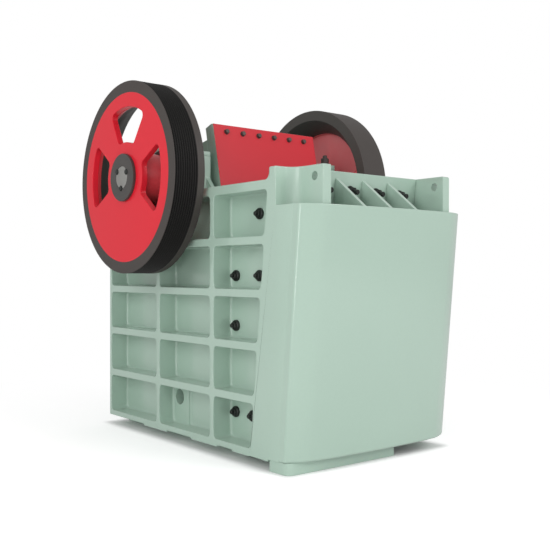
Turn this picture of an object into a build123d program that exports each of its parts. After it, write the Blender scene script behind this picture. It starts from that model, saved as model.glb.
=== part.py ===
from build123d import *
import os
from math import cos, radians, sin, tan

# Single-toggle jaw crusher. Millimetres; front is -Y, right is +X, up is +Z.
# The origin lies on the floor, midway between the side frames, at the centre of the anchor bolts.

# Feed mouth and chamber
jaw_width = 1060
jaw_t = 110
moving_jaw_t = 110
tooth_depth = 30
tooth_count = 10
tooth_flank = 0.4
jaw_bottom = 400
jaw_top = 2060
cheek_t = 30
cheek_split = 800
cheek_joint = 4
cheek_drop = 90
cheek_rise = 60
cheek_gap = 6
cheek_back = 24
liner_space = 62
seat_gap = 0.3

# Frame
wall_t = 76
rib_depth = 172
rib_t = 60
rib_pitch = 389
row_count = 5
frame_bottom = 68
flange_top = 2085
flange_t = 70
rear_y = 1395
rear_rib_t = 40
rear_rib_depth = 100
rear_upright_x = 200
rear_rows = 3
upright_y = (-308, 510)
pad_relief = 14
pad_spans = ((-1020, -585), (-376, -8), (370, 751))
wall_in = jaw_width / 2 + liner_space
wall_out = wall_in + wall_t
frame_half = wall_out + rib_depth

# Front of the frame
front_rise = 20
panel_bottom = frame_bottom + front_rise
corner_y = -1201
front_lean = 5.2
border_y = -803
border_lean = 5.9
panel_top = 1893
panel_t = 40
panel_return = 60
panel_bow = 112
panel_shoulder = 80
shoulder_width = 190
shoulder_bulge = (0.42, 0.72)
corner_radius = 25
bottom_chamfer = 12
step_y = -1107
step_radius = 95
lug_front = -1416
lug_top = 2173
lug_hole_y = -1326
lug_hole_z = 2094
lug_hole_r = 31
ear_length = 78
lug_corner_radius = 38
ear_radius = 60
ear_land = 9

# Round access hole low in each side frame, in a raised pad
access_y = 394
access_z = 351
access_r = 65
access_pad_t = 26
access_pad_front = 250

# Foot, rails and anchor holes
foot_left = -frame_half + 15
foot_right = 240
foot_front = -1232
foot_rear = -1020
foot_radius = 60
rail_inner = wall_in - 112
rail_outer = wall_in + 48
rail_front = -560
anchor_x = wall_in - 52
anchor_y = 520
anchor_r = 24

# Front wall and its ribs
wall_lean = 6.5
wall_front_top = -1140
wall_plate_t = 110
front_rib_t = 32
front_rib_pitch = 275
front_rib_drop = 50
front_rib_slope = 37.5

# Shaft and bearings
axis_y = 515
axis_z = 2208
journal_r = 125
journal_clearance = 0.05
throw = 18
crank_r = 150
crank_clearance = 0.05
crank_half = jaw_width / 2
crank_z = axis_z - throw
seat_r = 112
shaft_end_r = 94
shaft_shoulder = 15
housing_r = 290
housing_in = wall_in + 8
housing_out = housing_in + 200
cover_r = 255
cover_t = 25
cover_gap = 5
support_half = 443
support_foot = 100
support_foot_t = 40
support_knee = axis_z - 5
support_width = 225
support_out = wall_in + support_width
cap_rise = 180
cap_split = axis_z + cap_rise
cap_flange_t = 38
cap_t = 55
cap_r = housing_r + cap_t
cap_arch_width = 148
cap_arch_out = wall_in + cap_arch_width

# Wheels
wheel_r = 800
wheel_width = 274
sheave_in = frame_half + 45
sheave_out = sheave_in + wheel_width
flywheel_in = frame_half + 23
flywheel_out = flywheel_in + wheel_width
web_t = 54
rim_t = 96
bowl_depth = 210
web_r = wheel_r - bowl_depth
bowl_taper = 25
bowl_step = 96
window_margin = 2
window_in_r = 295
window_out_r = web_r - window_margin
window_in_angle = 24
window_out_angle = 28.2
window_radius = 42
window_turn = -5
window_places = (0, 90, 180)
hub_r = 215
hub_flare = 20
hub_in = frame_half + 5
cap_disc_r = 198
cap_proud = 27
groove_count = 10
groove_pitch = 20.5
groove_depth = 15
groove_margin = 6

# Swing jaw
pitman_half = jaw_width / 2 + 26
guard_t = 40
swing_lean = 16.2
guard_lean = 12.2
guard_top = 2670
guard_front_top = 90
guard_bottom = 2072
head_r = 340
head_shelf = (352, 310)
head_shelf_end = 120
head_rear = 338
head_back = 225
head_tube_r = 250
pitman_plate_t = 78
pitman_top_bevel = 26
pitman_web_t = 60
pitman_web_count = 4
pitman_bottom = 330
toggle_beam_top = 900
toggle_beam_half = 130
web_foot = 90
swing_gap = 5

# Toggle plate, its block, the wedge and the cross beam
toggle_front = (20, 560)
toggle_rear = (610, 740)
toggle_t = 56
toggle_half = jaw_width / 2 - 130
toggle_nose = 35
block_t = 130
block_height = 300
block_overhang = 40
wedge_t = 50
wedge_height = 360
wedge_rise = 10
beam_below = (190, 290)
beam_above = (210, 330)
rear_plate_t = 50

fl = tan(radians(front_lean))
bl = tan(radians(border_lean))
wl = tan(radians(wall_lean))
sl = tan(radians(swing_lean))
gl = tan(radians(guard_lean))
guard_depth = guard_t / cos(radians(guard_lean))


def corner_at(z):
    """Y of the panel's outer corner at height z."""
    return corner_y - (z - frame_bottom) * fl


def border_at(z):
    """Y of the front border of the foremost pockets at height z."""
    return border_y - (z - frame_bottom) * bl


def wall_at(z):
    """Y of the front face of the front wall at height z."""
    return wall_front_top + (lug_top - z) * wl


def head_at(z):
    """Y of the front face of the pitman's head, under the guard plate, at height z."""
    return guard_front_top + guard_depth - (guard_top - z) * gl


def swing_at(z):
    """Y of the front face of the pitman, under the moving jaw plate, at height z."""
    return head_at(guard_bottom) - (guard_bottom - z) * sl


def finish(builder, name):
    """Label a finished piece and write it to its own file."""
    builder.part.label = name
    export_step(builder.part, f"parts/{name}.step")


def write_pair(builder, name):
    """Write a right-hand piece and its mirror image on the left."""
    finish(builder, f"{name}_right")
    with BuildPart() as left:
        mirror(builder.part, about=Plane.YZ)
    finish(left, f"{name}_left")


def bow_outline(y0):
    """Plan outline of the bowed front, with its corners at y0."""
    shoulder_x = frame_half - shoulder_width
    with BuildLine() as outline:
        Line((-frame_half, y0 + panel_return), (-frame_half, y0))
        ThreePointArc(
            (-frame_half, y0),
            (-shoulder_x - shoulder_width * shoulder_bulge[0], y0 - panel_shoulder * shoulder_bulge[1]),
            (-shoulder_x, y0 - panel_shoulder),
        )
        ThreePointArc(
            (-shoulder_x, y0 - panel_shoulder),
            (0, y0 - panel_bow),
            (shoulder_x, y0 - panel_shoulder),
        )
        ThreePointArc(
            (shoulder_x, y0 - panel_shoulder),
            (shoulder_x + shoulder_width * shoulder_bulge[0], y0 - panel_shoulder * shoulder_bulge[1]),
            (frame_half, y0),
        )
        Line((frame_half, y0), (frame_half, y0 + panel_return))
        Line((frame_half, y0 + panel_return), (-frame_half, y0 + panel_return))
    return outline


def pocket_rows():
    """Bottom and top height of each row of pockets."""
    rows = []
    for row in range(row_count):
        low = frame_bottom + rib_t + row * rib_pitch
        high = low + rib_pitch - rib_t
        if row == row_count - 1:
            high = flange_top - flange_t
        rows.append((low, high))
    return rows


os.makedirs("parts", exist_ok=True)

top_bar_front = step_y + ear_length + ear_radius + ear_land
shear = Vector(0, -fl, 1)
shear_length = (panel_top - panel_bottom) * shear.length
front_pad = pad_spans[0][0]

# Side plate: the wall of a side frame, with the lifting lug in front and the bearing support on top
with BuildPart() as side_plate:
    with BuildSketch(Plane.YZ.offset(wall_in)):
        with BuildLine():
            Polyline(
                (corner_at(panel_bottom) + panel_return, panel_bottom),
                (front_pad, panel_bottom),
                (front_pad, frame_bottom),
                (rear_y, frame_bottom),
                (rear_y, flange_top),
                (step_y + ear_length, flange_top),
                (step_y + ear_length, lug_top),
                (lug_front, lug_top),
                (lug_front, panel_top),
                (corner_at(panel_top) + panel_return, panel_top),
                close=True,
            )
        make_face()
        fillet([v for v in vertices() if abs(v.Z - flange_top) < 1 and v.Y < 0], ear_radius)
        fillet([v for v in vertices() if v.Z > lug_top - 1 and v.Y < lug_front + 1], lug_corner_radius)
    extrude(amount=wall_t)
    with BuildSketch(Plane.YZ.offset(wall_in)):
        with BuildLine():
            Polyline(
                (axis_y - support_half - support_foot, flange_top),
                (axis_y - support_half, support_knee),
                (axis_y + support_half, support_knee),
                (axis_y + support_half + support_foot, flange_top),
                close=True,
            )
        make_face()
    extrude(amount=support_foot_t)
    with BuildSketch(Plane.YZ.offset(wall_in)):
        with Locations((axis_y, (flange_top + cap_split) / 2)):
            Rectangle(2 * support_half, cap_split - flange_top)
    extrude(amount=support_out - wall_in)
    with BuildSketch(Plane.YZ.offset(wall_in)) as housing_seat:
        with Locations((axis_y, axis_z)):
            Circle(housing_r + seat_gap)
        with Locations((axis_y, (axis_z + cap_split) / 2)):
            Rectangle(2 * (housing_r + seat_gap), cap_split - axis_z)
    extrude(amount=wall_t + rib_depth, mode=Mode.SUBTRACT)
    with Locations(Location((wall_out, lug_hole_y, lug_hole_z), (0, 90, 0))):
        Hole(lug_hole_r, depth=wall_t)
    with Locations(Location((wall_out, access_y, access_z), (0, 90, 0))):
        Hole(access_r, depth=wall_t)
write_pair(side_plate, "side_plate")

# Corner post: joins the side plate to the bowed panel, and rises beside the lug
with BuildPart() as corner_post:
    with BuildSketch(Plane.YZ.offset(wall_out)):
        with BuildLine():
            Polyline(
                (corner_at(panel_bottom) + panel_return, panel_bottom),
                (front_pad, panel_bottom),
                (front_pad, frame_bottom),
                (border_at(frame_bottom), frame_bottom),
                (border_at(flange_top - flange_t), flange_top - flange_t),
                (top_bar_front, flange_top - flange_t),
                (top_bar_front, flange_top),
                (step_y + ear_length, flange_top),
                (step_y + ear_length, lug_top),
                (step_y, lug_top),
                (step_y, panel_top),
                (corner_at(panel_top) + panel_return, panel_top),
                close=True,
            )
        make_face()
        ear_foot = [v for v in vertices() if abs(v.Z - flange_top) < 1 and v.Y < step_y + ear_length + 1]
        fillet(ear_foot, ear_radius)
    extrude(amount=rib_depth)
    # Filler behind the bow of the panel
    with BuildSketch(Plane.XY.offset(panel_bottom)):
        add(make_face(bow_outline(corner_at(panel_bottom)).edges(), mode=Mode.PRIVATE))
        offset(amount=-panel_t - seat_gap)
        filler_width = frame_half - panel_t - seat_gap - wall_in
        filler_middle = wall_in + filler_width / 2
        with Locations((filler_middle, corner_at(panel_bottom) - panel_bow / 2)):
            Rectangle(filler_width, panel_bow + 2 * panel_return, mode=Mode.INTERSECT)
        with Locations((filler_middle, corner_at(panel_bottom) + panel_return / 2)):
            Rectangle(filler_width, panel_return)
    extrude(amount=shear_length, dir=shear)
    # Large fillet between the post and the lug
    with BuildSketch(Plane.XY.offset(panel_top)):
        with Locations((wall_out + step_radius / 2, step_y - step_radius / 2)):
            Rectangle(step_radius, step_radius)
        with Locations((wall_out + step_radius, step_y - step_radius)):
            Circle(step_radius, mode=Mode.SUBTRACT)
    extrude(amount=lug_top - panel_top)
write_pair(corner_post, "corner_post")

# Ribs of the side frame: level bars from the corner post to the back, with uprights between them
with BuildPart() as side_ribs:
    rows = pocket_rows()
    lows = [frame_bottom] + [high for low, high in rows]
    tops = [low for low, high in rows] + [flange_top]
    for low, high in zip(lows, tops):
        fronts = (border_at(low), border_at(high))
        if high == flange_top:
            fronts = (top_bar_front, top_bar_front)
        with BuildSketch(Plane.YZ.offset(wall_out)):
            with BuildLine():
                Polyline(
                    (fronts[0] + seat_gap, low),
                    (rear_y, low),
                    (rear_y, high),
                    (fronts[1] + seat_gap, high),
                    close=True,
                )
            make_face()
        extrude(amount=rib_depth)
    for low, high in rows:
        middle = (low + high) / 2
        height = high - low - 2 * seat_gap
        with BuildSketch(Plane.YZ.offset(wall_out)):
            with Locations((upright_y[0], middle), (upright_y[1], middle)):
                Rectangle(rib_t, height)
            with Locations((rear_y - rear_rib_t / 2, middle)):
                Rectangle(rear_rib_t, height)
        extrude(amount=rib_depth)
    with BuildSketch(Plane.YZ.offset(wall_out)):
        with Locations((axis_y, axis_z)):
            Circle(housing_r + seat_gap)
    extrude(amount=rib_depth, mode=Mode.SUBTRACT)
    # Shallow relief between the machined pads underneath
    reliefs = (
        (pad_spans[0][1], pad_spans[1][0]),
        (pad_spans[1][1], pad_spans[2][0]),
        (pad_spans[2][1], rear_y),
    )
    for start, end in reliefs:
        with BuildSketch(Plane.YZ.offset(wall_out)):
            with Locations(((start + end) / 2, frame_bottom + pad_relief / 2)):
                Rectangle(end - start, pad_relief)
        extrude(amount=rib_depth, mode=Mode.SUBTRACT)
write_pair(side_ribs, "side_ribs")

# Raised pad round the access hole, in the lowest middle pocket
with BuildPart() as access_pad:
    low, high = pocket_rows()[0]
    pad_rear = upright_y[1] - rib_t / 2 - seat_gap
    with BuildSketch(Plane.YZ.offset(wall_out)):
        with Locations(((access_pad_front + pad_rear) / 2, (low + high) / 2)):
            Rectangle(pad_rear - access_pad_front, high - low - 2 * seat_gap)
        with Locations((access_y, access_z)):
            Circle(access_r, mode=Mode.SUBTRACT)
    extrude(amount=access_pad_t)
write_pair(access_pad, "access_pad")

# Front panel: a bowed plate that closes the front, leaning back towards its foot
with BuildPart() as front_panel:
    with BuildSketch(Plane.XY.offset(panel_bottom)) as bow:
        add(make_face(bow_outline(corner_at(panel_bottom)).edges(), mode=Mode.PRIVATE))
        front_edge = corner_at(panel_bottom) + 1
        corners = [v for v in bow.vertices() if abs(abs(v.X) - frame_half) < 1 and v.Y < front_edge]
        fillet(corners, corner_radius)
        with BuildSketch(mode=Mode.SUBTRACT):
            add(make_face(bow_outline(corner_at(panel_bottom)).edges(), mode=Mode.PRIVATE))
            offset(amount=-panel_t)
            with Locations((0, corner_at(panel_bottom) + panel_return)):
                Rectangle(2 * (frame_half - panel_t), 3 * panel_t)
    extrude(amount=shear_length, dir=shear)
    outer = front_panel.edges().group_by(Axis.Z)[0].sort_by(Axis.Y)[:1]
    chamfer(outer, bottom_chamfer)
finish(front_panel, "front_panel")

# Foot below the panel, from the left corner to past the middle
with BuildPart() as front_foot:
    with BuildSketch():
        with Locations(((foot_left + foot_right) / 2, (foot_front + foot_rear) / 2)):
            Rectangle(foot_right - foot_left, foot_rear - foot_front)
    extrude(amount=panel_bottom)
    fillet(front_foot.edges().filter_by(Axis.Z).sort_by(Axis.Y)[:2].sort_by(Axis.X)[:1], foot_radius)
finish(front_foot, "front_foot")

# Rails that carry the side frames, each with anchor holes
with BuildPart() as base_rail:
    with BuildSketch():
        with Locations(((rail_inner + rail_outer) / 2, (rail_front + rear_y) / 2)):
            Rectangle(rail_outer - rail_inner, rear_y - rail_front)
    extrude(amount=frame_bottom)
    with Locations((anchor_x, -anchor_y, frame_bottom), (anchor_x, anchor_y, frame_bottom)):
        Hole(anchor_r, depth=frame_bottom)
write_pair(base_rail, "base_rail")

# Front wall between the side frames, leaning with the fixed jaw
wall_back = wall_plate_t / cos(radians(wall_lean))
with BuildPart() as front_wall:
    with BuildSketch(Plane.YZ.offset(-wall_in)):
        with BuildLine():
            Polyline(
                (wall_at(lug_top), lug_top),
                (wall_at(lug_top) + wall_back, lug_top),
                (wall_at(frame_bottom) + wall_back, frame_bottom),
                (wall_at(frame_bottom), frame_bottom),
                close=True,
            )
        make_face()
    extrude(amount=2 * wall_in)
finish(front_wall, "front_wall")

# Ribs that tie the front wall to the panel, with sloping top edges
with BuildPart() as front_ribs:
    rib_top = lug_top - front_rib_drop
    for place in (-1, 0, 1):
        with BuildSketch(Plane.YZ.offset(place * front_rib_pitch - front_rib_t / 2)):
            with BuildLine():
                Polyline(
                    (wall_at(rib_top), rib_top),
                    (wall_at(panel_bottom), panel_bottom),
                    (corner_at(panel_bottom) - panel_shoulder + panel_t, panel_bottom),
                    (corner_at(panel_top) - panel_shoulder + panel_t, panel_top),
                    (wall_at(rib_top) - (rib_top - panel_top) / tan(radians(front_rib_slope)), panel_top),
                    close=True,
                )
            make_face()
        extrude(amount=front_rib_t)
finish(front_ribs, "front_ribs")


def toothed_plate(z_low, z_high, front, lean, plate_t, forward):
    """Leaning plate with upright rounded teeth; forward is the side (+1 or -1 in Y) that the teeth face."""
    pitch = jaw_width / tooth_count
    base = plate_t - tooth_depth
    with BuildPart() as plate:
        with BuildSketch(Plane.XY.offset(z_low)):
            with BuildLine():
                y0 = front(z_low)
                y1 = y0 + forward * base
                Line((-jaw_width / 2, y1), (-jaw_width / 2, y0))
                Line((-jaw_width / 2, y0), (jaw_width / 2, y0))
                Line((jaw_width / 2, y0), (jaw_width / 2, y1))
                for tooth in range(tooth_count):
                    x0 = jaw_width / 2 - tooth * pitch
                    Polyline(
                        (x0, y1),
                        (x0 - pitch * tooth_flank, y1 + forward * tooth_depth),
                        (x0 - pitch * (1 - tooth_flank), y1 + forward * tooth_depth),
                        (x0 - pitch, y1),
                    )
            make_face()
        slope = Vector(0, lean, 1)
        extrude(amount=(z_high - z_low) * slope.length, dir=slope)
    return plate


# Fixed jaw plate on the front wall
def fixed_seat(z):
    """Y of the fixed jaw plate's back, just clear of the front wall, at height z."""
    return wall_at(z) + wall_back + seat_gap


fixed_jaw_plate = toothed_plate(jaw_bottom, jaw_top, fixed_seat, -wl, jaw_t, 1)
finish(fixed_jaw_plate, "fixed_jaw_plate")

# Moving jaw plate on the pitman
def moving_seat(z):
    """Y of the moving jaw plate's back, just clear of the pitman, at height z."""
    return swing_at(z) - seat_gap


moving_jaw_plate = toothed_plate(jaw_bottom, jaw_top, moving_seat, sl, moving_jaw_t, -1)
finish(moving_jaw_plate, "moving_jaw_plate")

# Cheek plates that line the side frames in the chamber, an upper and a lower one on each side
cheeks = (
    ("cheek_plate_lower", jaw_bottom - cheek_drop, cheek_split),
    ("cheek_plate_upper", cheek_split + cheek_joint, jaw_top + cheek_rise),
)
for name, low, high in cheeks:
    with BuildPart() as cheek:
        with BuildSketch(Plane.YZ.offset(wall_in - cheek_t - seat_gap)):
            with BuildLine():
                Polyline(
                    (wall_at(low) + wall_back + cheek_gap, low),
                    (swing_at(low) - cheek_back, low),
                    (swing_at(high) - cheek_back, high),
                    (wall_at(high) + wall_back + cheek_gap, high),
                    close=True,
                )
            make_face()
        extrude(amount=cheek_t)
    write_pair(cheek, name)

# Rear wall between the side frames, up to the top of the third row of pockets
rear_rib_face = rear_y - rear_rib_depth
rear_face = rear_rib_face - rear_plate_t
rear_bars = [frame_bottom + row * rib_pitch for row in range(rear_rows + 1)]
rear_wall_top = rear_bars[-1] + rib_t
with BuildPart() as rear_wall:
    with BuildSketch(Plane.XZ.offset(-rear_face)):
        with Locations((0, (frame_bottom + rear_wall_top) / 2)):
            Rectangle(2 * wall_in, rear_wall_top - frame_bottom)
    extrude(amount=-rear_plate_t)
finish(rear_wall, "rear_wall")

# Ribs of the rear wall, level with those of the sides
with BuildPart() as rear_ribs:
    with BuildSketch(Plane.XZ.offset(-rear_rib_face)):
        with Locations(*[(0, low + rib_t / 2) for low in rear_bars]):
            Rectangle(2 * wall_in, rib_t)
        for x in (-rear_upright_x, rear_upright_x):
            with Locations(*[(x, low + (rib_pitch + rib_t) / 2) for low in rear_bars[:-1]]):
                Rectangle(rear_rib_t, rib_pitch - rib_t - 2 * seat_gap)
    extrude(amount=-rear_rib_depth)
finish(rear_ribs, "rear_ribs")

# Cross beam behind the toggle block
beam_front = toggle_rear[0] + toggle_nose + block_t + wedge_t
with BuildPart() as rear_beam:
    with BuildSketch(Plane.YZ.offset(-wall_in)):
        with BuildLine():
            Polyline(
                (beam_front, toggle_rear[1] - beam_below[0]),
                (rear_face, toggle_rear[1] - beam_below[1]),
                (rear_face, toggle_rear[1] + beam_above[1]),
                (beam_front, toggle_rear[1] + beam_above[0]),
                close=True,
            )
        make_face()
    extrude(amount=2 * wall_in)
finish(rear_beam, "rear_beam")

# Wedge between the beam and the toggle block
with BuildPart() as adjusting_wedge:
    with Locations((0, beam_front - wedge_t / 2, toggle_rear[1] + wedge_rise)):
        Box(2 * toggle_half, wedge_t, wedge_height)
finish(adjusting_wedge, "adjusting_wedge")

# Toggle block with the rear seat
with BuildPart() as toggle_block:
    with BuildSketch(Plane.YZ.offset(-toggle_half - block_overhang)):
        with Locations((toggle_rear[0] + (block_t + toggle_nose) / 2, toggle_rear[1])):
            Rectangle(block_t + toggle_nose, block_height)
        with Locations(toggle_rear):
            Circle(toggle_nose + seat_gap, mode=Mode.SUBTRACT)
    extrude(amount=2 * (toggle_half + block_overhang))
finish(toggle_block, "toggle_block")

# Toggle plate between the pitman and the toggle block
with BuildPart() as toggle_plate:
    run = Vector(toggle_rear[0] - toggle_front[0], toggle_rear[1] - toggle_front[1])
    side = run.normalized().rotate(Axis.Z, 90) * (toggle_t / 2)
    with BuildSketch(Plane.YZ.offset(-toggle_half)):
        with BuildLine():
            Polyline(
                (toggle_front[0] + side.X, toggle_front[1] + side.Y),
                (toggle_rear[0] + side.X, toggle_rear[1] + side.Y),
                (toggle_rear[0] - side.X, toggle_rear[1] - side.Y),
                (toggle_front[0] - side.X, toggle_front[1] - side.Y),
                close=True,
            )
        make_face()
        with Locations(toggle_front, toggle_rear):
            Circle(toggle_nose)
    extrude(amount=2 * toggle_half)
finish(toggle_plate, "toggle_plate")

# Bearing housing with its bearing inside, and its outer cover
with BuildPart() as bearing_housing:
    with BuildSketch(Plane.YZ.offset(housing_in)):
        with Locations((axis_y, axis_z)):
            Circle(housing_r)
            Circle(journal_r + journal_clearance, mode=Mode.SUBTRACT)
    extrude(amount=housing_out - housing_in)
write_pair(bearing_housing, "bearing_housing")

with BuildPart() as bearing_cover:
    with BuildSketch(Plane.YZ.offset(housing_out)):
        with Locations((axis_y, axis_z)):
            Circle(cover_r)
            Circle(journal_r + cover_gap, mode=Mode.SUBTRACT)
    extrude(amount=cover_t)
write_pair(bearing_cover, "bearing_cover")

# Cap that holds the housing down on its support
with BuildPart() as bearing_cap:
    with BuildSketch(Plane.YZ.offset(wall_in)):
        with Locations((axis_y, axis_z)):
            Circle(cap_r)
        with Locations((axis_y, cap_split - cap_r)):
            Rectangle(4 * cap_r, 2 * cap_r, mode=Mode.SUBTRACT)
    extrude(amount=cap_arch_out - wall_in)
    with BuildSketch(Plane.YZ.offset(wall_in)):
        with Locations((axis_y, cap_split + cap_flange_t / 2)):
            Rectangle(2 * support_half, cap_flange_t)
    extrude(amount=support_out - wall_in)
    with BuildSketch(Plane.YZ.offset(wall_in)):
        with Locations((axis_y, axis_z)):
            Circle(housing_r + seat_gap)
    extrude(amount=support_out - wall_in, mode=Mode.SUBTRACT)
write_pair(bearing_cap, "bearing_cap")

# Eccentric shaft
with BuildPart() as eccentric_shaft:
    journal_end = housing_out + cover_t + shaft_shoulder
    steps = (
        (journal_r, journal_end, journal_end),
        (seat_r, sheave_out, flywheel_out),
        (shaft_end_r, sheave_out + cap_proud, flywheel_out + cap_proud),
    )
    for radius, left_end, right_end in steps:
        with BuildSketch(Plane.YZ.offset(-left_end)):
            with Locations((axis_y, axis_z)):
                Circle(radius)
        extrude(amount=left_end + right_end)
    with BuildSketch(Plane.YZ.offset(-crank_half)):
        with Locations((axis_y, crank_z)):
            Circle(crank_r)
    extrude(amount=2 * crank_half)
finish(eccentric_shaft, "eccentric_shaft")


def wheel_profile(inner, grooved):
    """Half section of a wheel, as X out from the machine and radius; inner is the X of its open side."""
    outer = inner + wheel_width
    web_in = outer - web_t
    points = [
        (hub_in, seat_r),
        (hub_in, hub_r),
        (web_in, hub_r + hub_flare),
        (web_in, web_r),
        (web_in - bowl_step, web_r + bowl_taper),
        (inner, wheel_r - rim_t),
        (inner, wheel_r),
    ]
    if grooved:
        start = outer - groove_margin - groove_count * groove_pitch
        for groove in range(groove_count):
            x = start + groove * groove_pitch
            points += [(x, wheel_r), (x + groove_pitch / 2, wheel_r - groove_depth)]
        points.append((outer - groove_margin, wheel_r))
    points += [(outer, wheel_r), (outer, seat_r)]
    return points


def on_wheel(radius, angle):
    """Point in the YZ plane at a radius from the shaft and an angle in degrees from the rear."""
    return axis_y + radius * cos(radians(angle)), axis_z + radius * sin(radians(angle))


def wheel(inner, turn, grooved):
    """Right-hand wheel with three windows; the closed sector is the counterweight."""
    shaft = Axis((0, axis_y, axis_z), (1, 0, 0))
    with BuildPart() as body:
        with BuildSketch(Plane((0, axis_y, axis_z), x_dir=(1, 0, 0), z_dir=(0, -1, 0))):
            with BuildLine():
                Polyline(*wheel_profile(inner, grooved), close=True)
            make_face()
        revolve(axis=shaft)
        for place in window_places:
            middle = 180 - (place + turn)
            with BuildSketch(Plane.YZ.offset(inner + wheel_width - web_t)) as window:
                with BuildLine():
                    for radius, half in ((window_in_r, window_in_angle), (window_out_r, window_out_angle)):
                        CenterArc((axis_y, axis_z), radius, middle - half, 2 * half)
                    for side in (-1, 1):
                        Line(
                            on_wheel(window_in_r, middle + side * window_in_angle),
                            on_wheel(window_out_r, middle + side * window_out_angle),
                        )
                make_face()
                fillet(window.vertices(), window_radius)
            extrude(amount=web_t, mode=Mode.SUBTRACT)
    return body


# Plain flywheel on the right, grooved belt sheave on the left, their counterweights opposed
flywheel = wheel(flywheel_in, window_turn + 180, False)
finish(flywheel, "flywheel")
grooved_wheel = wheel(sheave_in, window_turn, True)
with BuildPart() as drive_sheave:
    mirror(grooved_wheel.part, about=Plane.YZ)
finish(drive_sheave, "drive_sheave")

# Discs that hold the wheels on the shaft ends
for name, start in (("hub_cap_right", flywheel_out), ("hub_cap_left", -sheave_out - cap_proud)):
    with BuildPart() as hub_cap:
        with BuildSketch(Plane.YZ.offset(start)):
            with Locations((axis_y, axis_z)):
                Circle(cap_disc_r)
                Circle(shaft_end_r + seat_gap, mode=Mode.SUBTRACT)
        extrude(amount=cap_proud)
    finish(hub_cap, name)

# Pitman: a tube round the crank and a front plate with the toggle pocket, joined by upright webs
with BuildPart() as pitman_head:
    with BuildSketch(Plane.YZ.offset(-pitman_half)):
        with Locations((axis_y, crank_z)):
            Circle(head_tube_r)
            Circle(crank_r + crank_clearance, mode=Mode.SUBTRACT)
    extrude(amount=2 * pitman_half)
finish(pitman_head, "pitman_head")

front_plate_depth = pitman_plate_t / cos(radians(swing_lean))
bevel_z = guard_top - pitman_top_bevel
with BuildPart() as pitman_front:
    with BuildSketch(Plane.YZ.offset(-pitman_half)):
        with BuildLine():
            Polyline(
                (head_at(guard_top), guard_top),
                (head_at(bevel_z) + front_plate_depth, bevel_z),
                (head_at(guard_bottom) + front_plate_depth, guard_bottom),
                (swing_at(toggle_beam_top) + front_plate_depth, toggle_beam_top),
                (toggle_front[0], toggle_front[1] + toggle_beam_half),
                (toggle_front[0], toggle_front[1] - toggle_beam_half),
                (swing_at(pitman_bottom) + 2 * front_plate_depth, pitman_bottom),
                (swing_at(pitman_bottom), pitman_bottom),
                (head_at(guard_bottom), guard_bottom),
                close=True,
            )
        make_face()
        with Locations((toggle_front[0], toggle_front[1] - throw)):
            Circle(toggle_nose + throw + swing_gap, mode=Mode.SUBTRACT)
    extrude(amount=2 * pitman_half)
finish(pitman_front, "pitman_front")

with BuildPart() as pitman_webs:
    web_pitch = (2 * pitman_half - pitman_web_t) / (pitman_web_count - 1)
    for web in range(pitman_web_count):
        with BuildSketch(Plane.YZ.offset(-pitman_half + web * web_pitch)):
            with BuildLine():
                Polyline(
                    (head_at(crank_z + head_shelf[0]) + front_plate_depth, crank_z + head_shelf[0]),
                    (axis_y - head_shelf_end, crank_z + head_shelf[1]),
                    (axis_y, crank_z),
                    (axis_y + head_rear, crank_z),
                    (axis_y + head_back, crank_z - head_back),
                    (toggle_front[0] + web_foot, toggle_beam_top + web_foot),
                    (swing_at(toggle_beam_top) + front_plate_depth, toggle_beam_top),
                    (head_at(guard_bottom) + front_plate_depth, guard_bottom),
                    close=True,
                )
            make_face()
        extrude(amount=pitman_web_t)
        with BuildSketch(Plane.YZ.offset(-pitman_half + web * web_pitch)):
            with Locations((axis_y, crank_z)):
                Circle(head_r)
        extrude(amount=pitman_web_t)
    with BuildSketch(Plane.YZ.offset(-pitman_half)):
        with Locations((axis_y, crank_z)):
            Circle(head_tube_r + seat_gap)
    extrude(amount=2 * pitman_half, mode=Mode.SUBTRACT)
finish(pitman_webs, "pitman_webs")

# Guard plate over the pitman's head
with BuildPart() as guard_plate:
    with BuildSketch(Plane.YZ.offset(-pitman_half)):
        with BuildLine():
            Polyline(
                (head_at(guard_top) - guard_depth, guard_top),
                (head_at(guard_top), guard_top),
                (head_at(guard_bottom), guard_bottom),
                (head_at(guard_bottom) - guard_depth, guard_bottom),
                close=True,
            )
        make_face()
    extrude(amount=2 * pitman_half)
finish(guard_plate, "guard_plate")
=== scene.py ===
from math import cos, pi, radians, sin, sqrt, tan

import bmesh
import bpy
from mathutils import Matrix, Vector


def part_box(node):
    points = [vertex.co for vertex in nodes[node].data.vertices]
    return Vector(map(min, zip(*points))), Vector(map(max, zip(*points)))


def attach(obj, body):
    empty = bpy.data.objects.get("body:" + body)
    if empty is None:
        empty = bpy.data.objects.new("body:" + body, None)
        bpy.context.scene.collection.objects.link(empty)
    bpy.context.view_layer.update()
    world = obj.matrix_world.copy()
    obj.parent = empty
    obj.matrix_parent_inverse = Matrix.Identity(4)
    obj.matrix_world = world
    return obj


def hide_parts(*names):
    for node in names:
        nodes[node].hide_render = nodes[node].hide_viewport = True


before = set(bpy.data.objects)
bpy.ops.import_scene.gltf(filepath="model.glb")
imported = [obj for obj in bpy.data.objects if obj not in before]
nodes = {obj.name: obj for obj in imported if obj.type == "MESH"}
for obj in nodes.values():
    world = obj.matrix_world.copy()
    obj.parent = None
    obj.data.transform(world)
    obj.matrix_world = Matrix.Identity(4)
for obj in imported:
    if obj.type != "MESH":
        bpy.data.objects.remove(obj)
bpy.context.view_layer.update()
scene = bpy.context.scene

# Camera. It stands to the front left of the machine at about half its height, a little under six
# metres from the near corner, and looks level across the sheave and the bowed front.
camera_place = Vector((-4.4229, -5.5949, 1.4243))
camera_yaw, camera_pitch, camera_roll = radians(38.574), radians(-0.226), radians(-0.063)
picture_pixels, focal_pixels, sensor_width, far_clip = 550, 816.11, 36.0, 200

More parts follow.
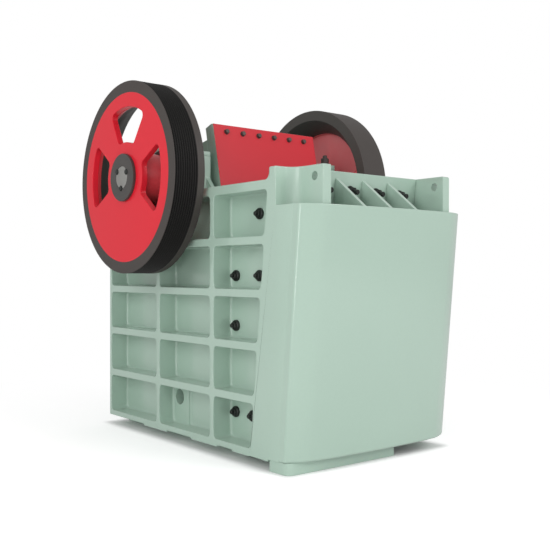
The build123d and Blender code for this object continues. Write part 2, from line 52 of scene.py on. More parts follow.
sight = Vector((
    sin(camera_yaw) * cos(camera_pitch),
    cos(camera_yaw) * cos(camera_pitch),
    sin(camera_pitch),
))
camera = bpy.data.objects.new("camera", bpy.data.cameras.new("camera"))
camera.data.sensor_width = sensor_width
camera.data.lens = sensor_width * focal_pixels / picture_pixels
camera.data.clip_end = far_clip
camera.matrix_world = (
    Matrix.Translation(camera_place)
    @ sight.to_track_quat("-Z", "Y").to_matrix().to_4x4()
    @ Matrix.Rotation(-camera_roll, 4, "Z")
)
scene.collection.objects.link(camera)
scene.camera = camera
scene.view_settings.view_transform = "Standard"


# Studio floor. A white sweep that the camera sees as plain white, apart from a shade beside and under the
# machine: the cast shadow, deepened by a painted shade, as the glow that whitens the floor is weaker close
# to the footprint. All other rays meet it as matt white card, so it still throws light back up.
class Shade:
    """A socket in a node tree. Operators add Math nodes, and node() adds any other kind."""

    def __init__(self, tree, socket=None):
        self.tree = tree
        self.socket = socket

    def node(self, kind, settings=(), links=(), output=0):
        """Adds a node: its settings first, then the values or sockets of its inputs."""
        made = self.tree.nodes.new(kind)
        for name, value in dict(settings).items():
            setattr(made, name, value)
        for name, value in dict(links).items():
            if isinstance(value, Shade):
                self.tree.links.new(value.socket, made.inputs[name])
            else:
                made.inputs[name].default_value = value
        return Shade(self.tree, made.outputs[output] if made.outputs else None)

    def maths(self, operation, *values):
        """A Math node on numbers or Shades."""
        return self.node("ShaderNodeMath", {"operation": operation}, enumerate(values))

    def vector(self, operation, *values, output="Vector"):
        """A Vector Math node on vectors or Shades."""
        return self.node("ShaderNodeVectorMath", {"operation": operation}, enumerate(values), output)

    def __add__(self, other):
        return self.maths("ADD", self, other)

    __radd__ = __add__

    def __sub__(self, other):
        return self.maths("SUBTRACT", self, other)

    def __rsub__(self, other):
        return self.maths("SUBTRACT", other, self)

    def __mul__(self, other):
        return self.maths("MULTIPLY", self, other)

    __rmul__ = __mul__

    def __gt__(self, other):
        return self.maths("GREATER_THAN", self, other)

    def __lt__(self, other):
        return self.maths("LESS_THAN", self, other)

    def ramp(self, low, high):
        """0 below low, 1 above high, and a smooth rise between."""
        return self.node(
            "ShaderNodeMapRange",
            {"interpolation_type": "SMOOTHSTEP"},
            {"Value": self, "From Min": low, "From Max": high},
        )

    def mix(self, first, second):
        """Colour between first, where this is 0, and second, where it is 1."""
        factor_input, first_input, second_input, colour_output = 0, 6, 7, 2
        links = {factor_input: self, first_input: first, second_input: second}
        return self.node("ShaderNodeMix", {"data_type": "RGBA"}, links, colour_output)

    def blend(self, first, second):
        """Shader between first, where this is 0, and second, where it is 1."""
        return self.node("ShaderNodeMixShader", (), {0: self, 1: first, 2: second})


def blank(name):
    """A new material with no nodes, and a Shade on its tree."""
    material = bpy.data.materials.new(name)
    material.use_nodes = True
    material.node_tree.nodes.clear()
    return material, Shade(material.node_tree)


floor_size, floor_tone, white = 60.0, (0.90, 0.90, 0.90, 1), (1, 1, 1, 1)
floor_lift, shade_lift, sweep_lift = 0.42, 0.03, 1.0
footprint_middle, footprint_half, shade_reach = (0.0, 0.10, 0.0), (0.80, 1.30, 1.0), 0.12
sweep_start, sweep_end = 2.2, 4.5

bpy.ops.mesh.primitive_plane_add(size=floor_size)
floor = bpy.context.object
floor.name = "studio_floor"
floor_paint, shade = blank("studio_floor")
place = shade.node("ShaderNodeTexCoord", output="Object")
aside = shade.vector("ABSOLUTE", shade.vector("SUBTRACT", place, footprint_middle))
beyond = shade.vector("MAXIMUM", shade.vector("SUBTRACT", aside, footprint_half), (0, 0, 0))
clearance = shade.vector("LENGTH", beyond, output="Value")
reach = shade.vector("LENGTH", place, output="Value")
shaded, lifted, swept = (
    shade.node("ShaderNodeEmission", (), {"Color": white, "Strength": strength})
    for strength in (shade_lift, floor_lift, sweep_lift)
)
card = shade.node("ShaderNodeBsdfDiffuse", (), {"Color": floor_tone})
# Painted shade: close to the footprint the camera sees a weaker glow, so the floor there shows darker.
glow = clearance.ramp(0.0, shade_reach).blend(shaded, lifted)
near = shade.node("ShaderNodeAddShader", (), {0: card, 1: glow})
shown = reach.ramp(sweep_start, sweep_end).blend(near, swept)
surface = shade.node("ShaderNodeLightPath", output="Is Camera Ray").blend(card, shown)
surface.node("ShaderNodeOutputMaterial", (), {"Surface": surface})
floor.data.materials.append(floor_paint)

# Light. A pale dome that the camera sees as white, a broad lamp in front on the right and a weaker one
# on the left, and a narrow upright strip that draws the bright lines on the edges near the camera.
dome_light, dome_seen = 0.57, 1.0
world = bpy.data.worlds.new("studio_dome")
world.use_nodes = True
world.node_tree.nodes.clear()
scene.world = world
sky = Shade(world.node_tree)
pale, bright = (
    sky.node("ShaderNodeBackground", (), {"Color": white, "Strength": strength})
    for strength in (dome_light, dome_seen)
)
dome = sky.node("ShaderNodeLightPath", output="Is Camera Ray").blend(pale, bright)
dome.node("ShaderNodeOutputWorld", (), {"Surface": dome})


def lamp(name, place, aim, size, watts):
    """A soft box at place, size wide and high, aimed at a point."""
    light = bpy.data.objects.new(name, bpy.data.lights.new(name, "AREA"))
    light.data.shape = "RECTANGLE"
    light.data.size, light.data.size_y = size
    light.data.energy = watts
    light.location = place
    light.rotation_euler = (Vector(aim) - Vector(place)).to_track_quat("-Z", "Y").to_euler()
    scene.collection.objects.link(light)


lamp("front_box", (3.0, -9.0, 6.5), aim=(0, 0, 1.2), size=(5.0, 5.0), watts=345)
lamp("side_box", (-9.0, -2.5, 5.5), aim=(0, 0, 1.2), size=(5.0, 5.0), watts=230)
lamp("edge_strip", (-7.0, -5.6, 1.28), aim=(0, 0, 1.28), size=(0.5, 2.4), watts=85)


# Side frames. Each is one steel casting with fifteen rounded pockets between its ribs, a raised pad round
# the access hole and a lug in front. It wears one coat of pale green gloss paint.
def colour(red, green, blue):
    """Linear colour of a paint chip's sRGB values from 0 to 255."""
    def linear(value):
        value /= 255
        return value / 12.92 if value < 0.04045 else ((value + 0.055) / 1.055) ** 2.4

    return linear(red), linear(green), linear(blue), 1.0


def finish(base, roughness, metallic, normal, coat, coat_roughness, specular=0.5):
    """Closes the material that these Shades belong to with one surface."""
    surface = base.node("ShaderNodeBsdfPrincipled", (), {
        "Base Color": base,
        "Roughness": roughness,
        "Metallic": metallic,
        "Normal": normal,
        "Specular IOR Level": specular,
        "Coat Weight": coat,
        "Coat Roughness": coat_roughness,
    })
    surface.node("ShaderNodeOutputMaterial", (), {"Surface": surface})


def green_coat(name, light, dark, pale_tone):
    """Glossy sprayed paint with faint clouding, orange peel, and dust on upward faces."""
    cloud_share, speckle_share = 0.6, 0.4
    dust_slopes, dust_least, dust_spread = (0.6, 0.98), 0.15, 0.25
    rough_clean, rough_cloud, rough_dust = 0.30, 0.06, 0.25
    material, shade = blank(name)
    place = shade.node("ShaderNodeTexCoord", output="Object")
    cloud = shade.node("ShaderNodeTexNoise", (), {"Vector": place, "Scale": 1.2, "Detail": 3.0})
    speckle = shade.node("ShaderNodeTexNoise", (), {"Vector": place, "Scale": 60.0, "Detail": 3.0})
    peel = shade.node("ShaderNodeTexNoise", (), {"Vector": place, "Scale": 240.0, "Detail": 1.0})
    tone = (cloud_share * cloud + speckle_share * speckle).ramp(0.2, 0.8).mix(dark, light)
    facing = shade.node("ShaderNodeNewGeometry", output="Normal")
    upward = shade.node("ShaderNodeSeparateXYZ", (), {0: facing}, "Z")
    dust = upward.ramp(*dust_slopes) * (dust_least + dust_spread * speckle)
    tone = dust.mix(tone, pale_tone)
    rough = rough_clean + rough_cloud * cloud + rough_dust * dust
    bump = shade.node("ShaderNodeBump", (), {"Strength": 0.06, "Distance": 0.0005, "Height": peel})
    finish(tone, rough, metallic=0.0, normal=bump, coat=0.9, coat_roughness=0.09)
    return material


green_paint = green_coat(
    "green_gloss_paint",
    light=colour(175, 200, 185),
    dark=colour(171, 196, 181),
    pale_tone=colour(190, 198, 190),
)


def as_piece(name, mesh, material, slot, body, *replaced):
    """An object for a mesh, with its finish, that rides on a body in place of CAD nodes."""
    mesh.materials.clear()
    mesh.materials.append(material)
    piece = bpy.data.objects.new(name, mesh)
    scene.collection.objects.link(piece)
    for face in mesh.polygons:
        face.use_smooth = True
    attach(piece, body)
    if replaced:
        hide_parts(*replaced)
    return piece


weld_reach, least_turn, round_segments = 2e-5, radians(28), 3


def rounded(piece, radius_of):
    """Rounds the piece's edges with live modifiers; radius_of(edge, turn) gives each edge's radius."""
    shell = bmesh.new()
    shell.from_mesh(piece.data)
    bmesh.ops.remove_doubles(shell, verts=shell.verts, dist=weld_reach)
    weight = shell.edges.layers.float.new("bevel_weight_edge")
    radii = {}
    for edge in shell.edges:
        if len(edge.link_faces) == 2:
            turn = edge.calc_face_angle_signed()
            if abs(turn) > least_turn:
                radii[edge] = radius_of(edge, turn)
    widest = max(radii.values())
    for face in shell.faces:
        face.smooth = True
    for edge, radius in radii.items():
        edge[weight] = radius / widest
    shell.to_mesh(piece.data)
    shell.free()
    bevel = piece.modifiers.new("rounded_edges", "BEVEL")
    bevel.width = widest
    bevel.segments = round_segments
    bevel.limit_method = "WEIGHT"
    bevel.use_clamp_overlap = False
    flat = piece.modifiers.new("flat_faces", "WEIGHTED_NORMAL")
    flat.keep_sharp = True


def copied(name):
    """A mesh with the shape of a CAD node."""
    shell = bmesh.new()
    shell.from_mesh(nodes[name].data)
    mesh = bpy.data.meshes.new(name + "_dressed")
    shell.to_mesh(mesh)
    shell.free()
    return mesh


def add_prism(shell, outline, low, high):
    """Adds a closed prism over a YZ outline, between two X values, and returns the edges at the first."""
    ends = [[shell.verts.new((x, y, z)) for y, z in outline] for x in (low, high)]
    count = len(outline)
    faces = [shell.faces.new(ends[0]), shell.faces.new(ends[1][::-1])]
    for i in range(count):
        j = (i + 1) % count
        faces.append(shell.faces.new((ends[0][j], ends[0][i], ends[1][i], ends[1][j])))
    bmesh.ops.recalc_face_normals(shell, faces=faces)
    return list(faces[0].edges)


def loose(name, mesh):
    """An object for boolean work."""
    made = bpy.data.objects.new(name, mesh)
    scene.collection.objects.link(made)
    return made


def tool_object(name, shell):
    """A loose object with the shape of a bmesh."""
    mesh = bpy.data.meshes.new(name)
    shell.to_mesh(mesh)
    shell.free()
    return loose(name, mesh)


def combined(base, steps):
    """The mesh of base after boolean steps of (operation, tool); the tools and base are removed."""
    for operation, tool in steps:
        cut = base.modifiers.new(operation, "BOOLEAN")
        cut.operation, cut.object, cut.solver = operation, tool, "EXACT"
    graph = bpy.context.evaluated_depsgraph_get()
    mesh = bpy.data.meshes.new_from_object(base.evaluated_get(graph))
    for spent in [base] + [tool for _, tool in steps]:
        bpy.data.objects.remove(spent)
    return mesh


# The wall and the lattice of ribs.
wall_in, wall_out, half_width = 0.592, 0.668, 0.840
frame_low, frame_high, frame_rear = 0.068, 2.085, 1.395
border_y, border_slope = -0.803, tan(radians(5.9))
rib, rib_pitch, rear_rib, top_rib, row_count = 0.060, 0.389, 0.040, 0.070, 5
uprights = (-0.308, 0.510)
# The pockets between the ribs.
pocket_corner, pocket_floor, pocket_bow, pocket_overrun = 0.030, 0.022, 0.007, 0.08
round_steps, side_steps = 4, 8
# The round holes. Each is a hair wider than in the CAD wall, so that it gets one clean face.
axle_y, axle_z, housing_hole = 0.515, 2.208, 0.2912
access_y, access_z, access_radius = 0.394, 0.351, 0.0654
hole_facets, hole_depth, hole_lead = 72, 0.30, 0.01
# The pad round the access hole, and the shallow reliefs under the bottom edge.
pad_front, pad_depth = 0.250, 0.026
relief_spans = ((-0.585, -0.376), (-0.008, 0.370), (0.751, 1.42))
relief_height, relief_overrun = 0.014, 0.05
# The lug in front: where it rises from the frame's top, the step at its foot, and its lifting hole.
ear_rear, ear_radius, ear_steps, step_high = -1.029, 0.048, 6, 1.893
lug_hole_y, lug_hole_z = -1.326, 2.094
# How far welded shapes run into each other.
merge, sink = 0.001, 0.005


def border_at(z):
    """Y of the front border of the foremost pockets."""
    return border_y - (z - frame_low) * border_slope


def pocket_outline(front_low, front_high, rear, low, high, bows):
    """Outline of a pocket: round corners, and front and rear sides that bow outwards."""
    corners = [Vector((y, z)) for y, z in ((front_low, low), (rear, low), (rear, high), (front_high, high))]
    outline = []
    for i, corner in enumerate(corners):
        following = corners[(i + 1) % 4]
        before, after = (corners[i - 1] - corner).normalized(), (following - corner).normalized()
        points = []
        for step in range(round_steps + 1):
            angle = pi / 2 * step / round_steps
            points.append(corner + pocket_corner * ((1 - sin(angle)) * before + (1 - cos(angle)) * after))
        if i in (1, 3):
            start, end = points[-1], following - pocket_corner * after
            points += [start.lerp(end, step / side_steps) for step in range(1, side_steps)]
        bow = bows[1] if i in (1, 2) else -bows[0]
        for y, z in points:
            outline.append((y + bow * (1 - ((2 * z - low - high) / (high - low)) ** 2), z))
    return outline


def add_pocket(shell, front_low, front_high, rear, low, high, depth_x, bows=(pocket_bow, pocket_bow)):
    """Adds the rounded shape that hollows one pocket out of the casting."""
    outline = pocket_outline(front_low, front_high, rear, low, high, bows)
    floor_edges = add_prism(shell, outline, depth_x, half_width + pocket_overrun)
    bmesh.ops.bevel(
        shell, geom=floor_edges, offset=pocket_floor, segments=round_steps, profile=0.5, affect="EDGES",
    )


def rib_block():
    """The block that the pockets are hollowed out of."""
    block = bmesh.new()
    add_prism(block, (
        (border_at(frame_low) - merge, frame_low),
        (frame_rear, frame_low),
        (frame_rear, frame_high),
        (border_at(frame_high) - merge, frame_high),
    ), wall_out - merge, half_width)
    return block


def pockets_and_cuts():
    """The shapes of the fifteen pockets, and those of the cuts that come after them."""
    pockets, cuts = bmesh.new(), bmesh.new()
    for row in range(row_count):
        low = frame_low + rib + row * rib_pitch
        high = low + rib_pitch - rib if row < row_count - 1 else frame_high - top_rib
        add_pocket(pockets, border_at(low), border_at(high), uprights[0] - rib / 2, low, high, wall_out)
        front, rear = uprights[0] + rib / 2, uprights[1] - rib / 2
        floor_x = wall_out + (pad_depth if row == 0 else 0)
        add_pocket(pockets, front, front, rear, low, high, floor_x)
        if row == 0:
            add_pocket(cuts, front, front, pad_front, low, high, wall_out, (pocket_bow, 0))
        front = uprights[1] + rib / 2
        add_pocket(pockets, front, front, frame_rear - rear_rib, low, high, wall_out)
    relief_high = frame_low + relief_height
    for start, end in relief_spans:
        outline = ((start, 0.0), (end, 0.0), (end, relief_high), (start, relief_high))
        add_prism(cuts, outline, wall_out - merge, half_width + relief_overrun)
    for y, z, radius, low in (
        (axle_y, axle_z, housing_hole, wall_in),
        (access_y, access_z, access_radius, wall_in - hole_lead),
    ):
        place = Matrix.Translation((low + hole_depth / 2, y, z)) @ Matrix.Rotation(pi / 2, 4, "Y")
        bmesh.ops.create_cone(
            cuts, cap_ends=True, segments=hole_facets, radius1=radius, radius2=radius, depth=hole_depth,
            matrix=place,
        )
    return pockets, cuts


def ear_fillet():
    """The hollow fillet between the frame's top and the back of the lug."""
    fillet = bmesh.new()
    outline = [(ear_rear - sink, frame_high - sink), (ear_rear - sink, frame_high + ear_radius)]
    for step in range(ear_steps + 1):
        turn = pi + pi / 2 * step / ear_steps
        outline.append((ear_rear + ear_radius * (1 + cos(turn)), frame_high + ear_radius * (1 + sin(turn))))
    outline.append((ear_rear + ear_radius, frame_high - sink))
    add_prism(fillet, outline, wall_in, half_width)
    return fillet


def side_casting():
    """Mesh of the right-hand casting: the CAD wall and post, and ribs hollowed out of a block."""
    pockets, cuts = pockets_and_cuts()
    return combined(loose("side_base", copied("side_plate_right")), (
        ("UNION", loose("side_post", copied("corner_post_right"))),
        ("UNION", tool_object("side_block", rib_block())),
        ("DIFFERENCE", tool_object("side_pockets", pockets)),
        ("DIFFERENCE", tool_object("side_cuts", cuts)),
        ("UNION", tool_object("side_fillet", ear_fillet())),
    ))


edge_round, lug_round, hole_round, cove_round, step_round = 0.006, 0.011, 0.003, 0.016, 0.005
panel_seam, seam_high, lug_low = 0.2, step_high + 0.007, step_high + 0.01
step_slack, lug_hole_reach = 0.003, 0.04


def side_radius(edge, turn):
    """Radius of an edge of the side casting: none where it meets the panel, and broad on the lug."""
    middle = (edge.verts[0].co + edge.verts[1].co) / 2
    if middle.y < border_at(middle.z) - panel_seam and abs(middle.x) > wall_out and middle.z < seam_high:
        return 0.0
    if turn < 0:
        on_step = middle.y < ear_rear and abs(middle.z - step_high) < step_slack
        return step_round if on_step else cove_round
    if (middle.y - lug_hole_y) ** 2 + (middle.z - lug_hole_z) ** 2 < lug_hole_reach ** 2:
        return hole_round
    return lug_round if middle.y < ear_rear and middle.z > lug_low else edge_round


right_mesh = side_casting()
left_mesh = right_mesh.copy()
left_mesh.transform(Matrix.Scale(-1, 4, (1, 0, 0)))
left_mesh.flip_normals()
for side, mesh in (("right", right_mesh), ("left", left_mesh)):
    replaced = [f"{name}_{side}" for name in ("side_plate", "corner_post", "side_ribs", "access_pad")]
    casting = as_piece(f"side_casting_{side}", mesh, green_paint, "green_paint", "frame", *replaced)
    rounded(casting, side_radius)

# Front panel. A thick plate bent to a bow, welded between the corner posts and leaning back at its foot.
# Its rear ends are welded to the side frames under the same paint, so the joint doesn't show.
panel_return, panel_round = 0.79, 0.006
facing_back, seam_rise = 0.9, 0.5


def panel_radius(edge, turn):
    """Radius of a panel edge: none at the upright seams with the side frames."""
    rise = abs(edge.verts[0].co.z - edge.verts[1].co.z)
    return 0.0 if rise > seam_rise else panel_round


shell = bmesh.new()
shell.from_mesh(nodes["front_panel"].data)
welded = [
    face for face in shell.faces
    if face.normal.y > facing_back and abs(face.calc_center_median().x) > panel_return
]
bmesh.ops.delete(shell, geom=welded, context="FACES")
panel_mesh = bpy.data.meshes.new("front_panel_dressed")
shell.to_mesh(panel_mesh)
shell.free()
panel = as_piece("front_panel_dressed", panel_mesh, green_paint, "green_paint", "frame", "front_panel")
rounded(panel, panel_radius)

# Front wall, its three sloping ribs, the foot and the rails. Flame-cut plate, welded in and painted with
# the frame; their edges are ground to a small radius.
cove_share, plate_round = 0.6, 0.005


def dressed(name, radius, material, slot, body="frame"):
    """A copy of a CAD node with its outer edges rounded by one radius, and its inner ones by less."""
    piece = as_piece(name + "_dressed", copied(name), material, slot, body, name)
    rounded(piece, lambda edge, turn: radius if turn > 0 else cove_share * radius)


for name in ("front_wall", "front_ribs", "front_foot", "base_rail_left", "base_rail_right"):
    dressed(name, plate_round, green_paint, "green_paint")

# Rear wall and cross beam. The wall is a plate with a grid of welded ribs. Above the discharge, the beam
# ties the side frames together and carries the toggle block. Both wear the frame's green paint.
for name in ("rear_wall", "rear_ribs", "rear_beam", "toggle_block"):
    dressed(name, plate_round, green_paint, "green_paint")

# Bearing housings and their caps. Machined steel castings under the green paint. The housings sit in the
# round seats of the side frames, and each cap is bolted down over its housing.
casting_round = 0.006
for side in ("left", "right"):
    for name in ("bearing_housing", "bearing_cap"):
        dressed(f"{name}_{side}", casting_round, green_paint, "green_paint")

# Wheels. Grey cast iron discs, the left one grooved for the belts and the right one plain: webs in
# red gloss paint, rims dark, and the grooves bare and black from the belts.
wheel_radius, red_radius, bowl_red_radius, hub_radius = 0.800, 0.704, 0.622, 0.26
rim_edge, paint_line, groove_depth, crest_depth, web_slack = 0.005, 0.004, 0.030, (0.020, 0.002), 0.001
groove_band, groove_span = 0.02, (0.94, 1.155)
groove_round, rim_round, inner_round = 0.0015, 0.005, 0.004
wheel_centre = Vector((0, axle_y, axle_z))
red_light, red_dark = colour(228, 40, 56), colour(224, 34, 50)
rim_light, rim_dark = colour(79, 74, 71), colour(71, 66, 64)
bowl_painted_shade, bowl_rim = colour(58, 59, 56), colour(78, 75, 72)
crest_highlight, valley_black_and_shade = colour(34, 33, 32), colour(12, 12, 11)


def wheel_coat(name, web_inside, red_inside, belt_span, pale_tone):
    """Finish of a wheel, by distance from the shaft and along it."""
    dust_least, dust_spread = 0.4, 0.6
    rough_dark, rough_cloud, red_gloss = 0.42, 0.14, 0.14
    material, shade = blank(name)
    place = shade.node("ShaderNodeTexCoord", output="Object")
    x, y, z = (shade.node("ShaderNodeSeparateXYZ", (), {0: place}, axis) for axis in "XYZ")
    along = shade.maths("ABSOLUTE", x)
    back, up = y - axle_y, z - axle_z
    radius = shade.maths("SQRT", back * back + up * up)
    cloud = shade.node("ShaderNodeTexNoise", (), {"Vector": place, "Scale": 3.0, "Detail": 4.0})
    grain = shade.node("ShaderNodeTexNoise", (), {"Vector": place, "Scale": 130.0, "Detail": 3.0})

    outside = (radius < red_radius) * (along > web_inside)
    inside = (radius < bowl_red_radius) * (along > red_inside)
    red = shade.maths("MAXIMUM", shade.maths("MAXIMUM", outside, inside), radius < hub_radius)
    # The inner faces turn paler: partly dust, partly a painted sheen for the haze over the red there.
    dust_and_sheen = (along < web_inside + web_slack) * (dust_least + dust_spread * cloud)
    red_tone = dust_and_sheen.mix(cloud.mix(red_dark, red_light), pale_tone)

    # Inside the bowl, within the red line, the grey is darker than on the rim's flat face: painted shade.
    bowl = (radius < wheel_radius - rim_edge) * (along < web_inside + web_slack)
    hollow = radius.ramp(red_radius + paint_line, red_radius - paint_line)
    dark_tone = bowl.mix(cloud.mix(rim_dark, rim_light), hollow.mix(bowl_rim, bowl_painted_shade))
    tone = red.mix(dark_tone, red_tone)

    # The grooves are black, lighter on the crests than in the valleys: painted highlight and painted shade.
    belts = (radius > wheel_radius - groove_depth) * (along > belt_span[0]) * (along < belt_span[1])
    crest = radius.ramp(*(wheel_radius - depth for depth in crest_depth))
    tone = belts.mix(tone, crest.mix(valley_black_and_shade, crest_highlight))
    rough = rough_dark + rough_cloud * cloud - red_gloss * red
    bump = shade.node("ShaderNodeBump", (), {"Strength": 0.10, "Distance": 0.0010, "Height": grain})
    finish(tone, rough, metallic=0.0, normal=bump, coat=0.15 * red, coat_roughness=0.15, specular=0.2)
    return material


def wheel_edges(edge, turn):
    """Radius of a wheel's edge: fine on the belt grooves, and broader on rims and windows."""
    middle = (edge.verts[0].co + edge.verts[1].co) / 2 - wheel_centre
    reach = sqrt(middle.y ** 2 + middle.z ** 2)
    if reach > wheel_radius - groove_band and groove_span[0] < -middle.x < groove_span[1]:
        return groove_round
    return rim_round if turn > 0 else inner_round


sheave_paint = wheel_coat(
    "sheave_paint",
    web_inside=1.105,
    red_inside=1.074,
    belt_span=(0.948, 1.154),
    pale_tone=colour(198, 70, 76),
)
flywheel_paint = wheel_coat(
    "flywheel_paint",
    web_inside=1.083,
    red_inside=1.052,
    belt_span=(0.0, 0.0),
    pale_tone=colour(206, 126, 128),
)
for name, coat in (("drive_sheave", sheave_paint), ("flywheel", flywheel_paint)):
    wheel = as_piece(name + "_dressed", copied(name), coat, "red_paint", "rotor", name)
    rounded(wheel, wheel_edges)


# Shaft, hub caps and bearing covers. The caps and covers are dark painted discs, and the shaft's turned
# end shows bare steel in the middle of each cap. The wedge behind the toggle block is bare steel too.
def plain_coat(name, light, dark, rough, metallic=0.0, grain_scale=180.0, grain_depth=0.0006):
    """One satin paint or bare metal with clouded colour and a fine grain."""
    rough_cloud = 0.15
    material, shade = blank(name)
    place = shade.node("ShaderNodeTexCoord", output="Object")
    cloud = shade.node("ShaderNodeTexNoise", (), {"Vector": place, "Scale": 5.0, "Detail": 5.0})
    grain = shade.node("ShaderNodeTexNoise", (), {"Vector": place, "Scale": grain_scale, "Detail": 3.0})
    tone = cloud.ramp(0.3, 0.7).mix(dark, light)
    bump = shade.node("ShaderNodeBump", (), {"Strength": 0.2, "Distance": grain_depth, "Height": grain})
    finish(tone, rough + rough_cloud * cloud, metallic, normal=bump, coat=0.0, coat_roughness=0.15)
    return material


turned_round = 0.004
dark_paint = plain_coat("dark_satin_paint", colour(74, 71, 69), colour(66, 63, 61), rough=0.42)
bare_steel = plain_coat(
    "turned_steel", colour(150, 150, 146), colour(138, 137, 133), rough=0.38, metallic=0.2,
)
for side in ("left", "right"):
    dressed(f"hub_cap_{side}", turned_round, dark_paint, "dark_paint", "rotor")
    dressed(f"bearing_cover_{side}", turned_round, dark_paint, "dark_paint")
dressed("eccentric_shaft", turned_round, bare_steel, "machined_steel", "rotor")
wedge_finish = nodes["adjusting_wedge"].data.materials
wedge_finish.clear()
wedge_finish.append(bare_steel)

# Pitman. One steel casting that hangs on the shaft's crank: a tube round the crank, upright webs, and a
# front plate that carries the moving jaw plate. It wears the frame's green paint.
for name in ("pitman_head", "pitman_front", "pitman_webs"):
    dressed(name, casting_round, green_paint, "green_paint", "swing_jaw")


# Guard plate. A flat steel plate that leans back over the pitman's head: its front face is in red gloss
# paint, and its edges and back are green like the casting behind it.
def guard_coat(name, red_light, red_dark, green):
    """Red on the faces that look forward, green on the others."""
    forward, rough_clean, rough_cloud = -0.5, 0.34, 0.08
    material, shade = blank(name)
    place = shade.node("ShaderNodeTexCoord", output="Object")
    normal = shade.node("ShaderNodeTexCoord", output="Normal")
    facing = shade.node("ShaderNodeSeparateXYZ", (), {0: normal}, "Y")
    cloud = shade.node("ShaderNodeTexNoise", (), {"Vector": place, "Scale": 4.0, "Detail": 4.0})
    peel = shade.node("ShaderNodeTexNoise", (), {"Vector": place, "Scale": 240.0, "Detail": 1.0})
    tone = (facing < forward).mix(green, cloud.mix(red_light, red_dark))
    rough = rough_clean + rough_cloud * cloud
    bump = shade.node("ShaderNodeBump", (), {"Strength": 0.08, "Distance": 0.0005, "Height": peel})
    finish(tone, rough, metallic=0.0, normal=bump, coat=0.2, coat_roughness=0.12, specular=0.25)
    return material


guard_round = 0.004
guard_paint = guard_coat("guard_paint", colour(214, 40, 53), colour(207, 37, 50), colour(172, 197, 182))
dressed("guard_plate", guard_round, guard_paint, "red_paint", "swing_jaw")

# Jaw, cheek and toggle plates. Bare manganese steel castings, brown-grey and rough. The jaw plates have
# upright teeth, and the cheek plates line the side frames between them.
jaw_round, liner_round = 0.005, 0.004
manganese = plain_coat(
    "manganese_steel",
    light=colour(96, 92, 88),
    dark=colour(70, 66, 62),
    rough=0.5,
    metallic=0.6,
    grain_scale=60.0,
    grain_depth=0.002,
)
dressed("fixed_jaw_plate", jaw_round, manganese, "manganese_steel")
dressed("moving_jaw_plate", jaw_round, manganese, "manganese_steel", "swing_jaw")
dressed("toggle_plate", liner_round, manganese, "manganese_steel")
for side in ("left", "right"):
    for level in ("lower", "upper"):
        dressed(f"cheek_plate_{level}_{side}", liner_round, manganese, "manganese_steel")

# Cheek plate bolts. Black steel bolts that come through the side frames from the cheek plates inside,
# each with a thick washer, a flat nut and its end showing in a pocket.
black_steel = plain_coat("black_steel", colour(44, 48, 45), colour(30, 33, 31), rough=0.38, metallic=0.3)
washer_sides, stud_sides, bolt_sink, crisp_turn = 40, 28, 0.002, radians(25)
washer_chamfer, nut_chamfer, stud_chamfer = 0.3, 0.08, 0.2


def add_disc(shell, turn, start, length, radius, sides, chamfer):
    """Adds a bar of the given number of sides along the turned X axis, with its far edge chamfered."""
    rings = ((start, radius), (start + length - chamfer, radius), (start + length, radius - chamfer))
    angles = [2 * pi * i / sides for i in range(sides)]
    loops = []
    for along, reach in rings:
        points = [Vector((along, reach * cos(angle), reach * sin(angle))) for angle in angles]
        loops.append([shell.verts.new(turn @ point) for point in points])
    faces = [shell.faces.new(loops[0][::-1]), shell.faces.new(loops[-1])]
    for first, second in zip(loops, loops[1:]):
        for i in range(sides):
            j = (i + 1) % sides
            faces.append(shell.faces.new((first[i], first[j], second[j], second[i])))
    bmesh.ops.recalc_face_normals(shell, faces=faces)


def add_bolt(shell, place, direction, washer, nut, stud):
    """Adds a washer (radius, height), a hexagon (width, height) and a stud end (radius, height)."""
    lean = Vector((1, 0, 0)).rotation_difference(Vector(direction))
    turn = Matrix.Translation(place) @ lean.to_matrix().to_4x4()
    radius, thick = washer
    width, height = nut
    add_disc(shell, turn, -bolt_sink, thick + bolt_sink, radius, washer_sides, washer_chamfer * thick)
    add_disc(shell, turn, thick, height, width / sqrt(3), 6, nut_chamfer * width)
    if stud:
        add_disc(shell, turn, thick + height, stud[1], stud[0], stud_sides, stud_chamfer * stud[0])


def bolts(name, body, spots, steel, washer, nut, stud=None):
    """One piece with a bolt at each (place, direction)."""
    shell = bmesh.new()
    for place, direction in spots:
        add_bolt(shell, Vector(place), direction, washer, nut, stud)
    mesh = bpy.data.meshes.new(name)
    shell.to_mesh(mesh)
    shell.free()
    piece = as_piece(name, mesh, steel, "machined_steel", body)
    crisp = piece.modifiers.new("crisp_edges", "EDGE_SPLIT")
    crisp.split_angle = crisp_turn


cheek_spots = (
    (-0.710, 1.863),
    (-0.408, 1.394), (-0.709, 1.395),
    (-0.407, 1.004),
    (-0.406, 0.329), (-0.628, 0.325),
)
spots = [((s * wall_out, y, z), (s, 0, 0)) for s in (-1, 1) for y, z in cheek_spots]
bolts(
    "cheek_bolts", "frame", spots, black_steel,
    washer=(0.043, 0.024), nut=(0.056, 0.016), stud=(0.016, 0.018),
)

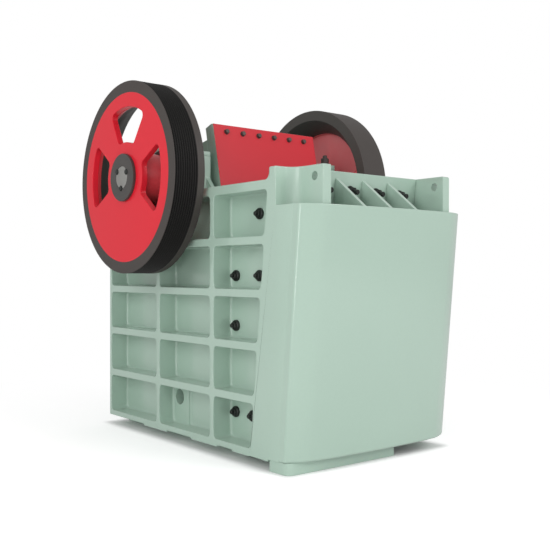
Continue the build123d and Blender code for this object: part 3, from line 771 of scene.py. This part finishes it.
# Fixed jaw bolts. A row of four long black bolts through the leaning front wall, between its ribs, that
# pull the fixed jaw plate against the wall.
wall_slope = tan(radians(6.5))
wall_top_y, wall_top_z, jaw_bolt_z = -1.140, 2.173, 2.030
wall_face = wall_top_y + (wall_top_z - jaw_bolt_z) * wall_slope
jaw_forward = Vector((0, -1, -wall_slope)).normalized()
spots = [((x, wall_face, jaw_bolt_z), jaw_forward) for x in (-0.400, -0.137, 0.137, 0.400)]
bolts(
    "fixed_jaw_bolts", "frame", spots, black_steel,
    washer=(0.044, 0.012), nut=(0.068, 0.036), stud=(0.020, 0.045),
)

# Guard bolts. Six small brown-grey steel bolts in a row that hold the guard plate's upper edge on the
# pitman, with thin washers under their heads.
brown_steel = plain_coat("brown_steel", colour(92, 80, 76), colour(72, 63, 60), rough=0.42, metallic=0.3)
guard_slope = tan(radians(12.2))
guard_top_y, guard_top_z, guard_bolt_z = 0.090, 2.670, 2.610
guard_face = guard_top_y - (guard_top_z - guard_bolt_z) * guard_slope
guard_forward = Vector((0, -1, guard_slope)).normalized()
guard_columns = (-0.428, -0.257, -0.085, 0.085, 0.257, 0.428)
spots = [((x, guard_face, guard_bolt_z), guard_forward) for x in guard_columns]
bolts("guard_bolts", "swing_jaw", spots, brown_steel, washer=(0.023, 0.004), nut=(0.036, 0.020))

# Cap bolts. Heavy upright studs of the same steel with their nuts, two on each bearing cap's flange,
# that clamp the cap on its housing.
flange_thick, cap_bolt_x, cap_bolt_rows = 0.038, 0.752, (0.140, 0.890)
flange_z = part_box("bearing_cap_right")[0][2] + flange_thick
spots = [((s * cap_bolt_x, y, flange_z), (0, 0, 1)) for s in (-1, 1) for y in cap_bolt_rows]
bolts(
    "cap_bolts", "frame", spots, brown_steel,
    washer=(0.040, 0.022), nut=(0.066, 0.048), stud=(0.020, 0.026),
)

# Hub bolts. Three flat black bolts on each hub cap that hold the cap and the wheel on the shaft's end.
# They stand at equal angles round the bare steel in the middle.
hub_bolt_circle, hub_bolt_first, hub_bolt_count = 0.091, 35, 3
for side, sign in (("left", -1), ("right", 1)):
    low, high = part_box(f"hub_cap_{side}")
    face_x = high[0] if sign > 0 else low[0]
    spots = []
    for step in range(hub_bolt_count):
        angle = radians(hub_bolt_first + 360 / hub_bolt_count * step)
        y, z = axle_y + hub_bolt_circle * cos(angle), axle_z + hub_bolt_circle * sin(angle)
        spots.append(((face_x, y, z), (sign, 0, 0)))
    bolts(f"hub_bolts_{side}", "rotor", spots, black_steel, washer=(0.024, 0.002), nut=(0.038, 0.007))
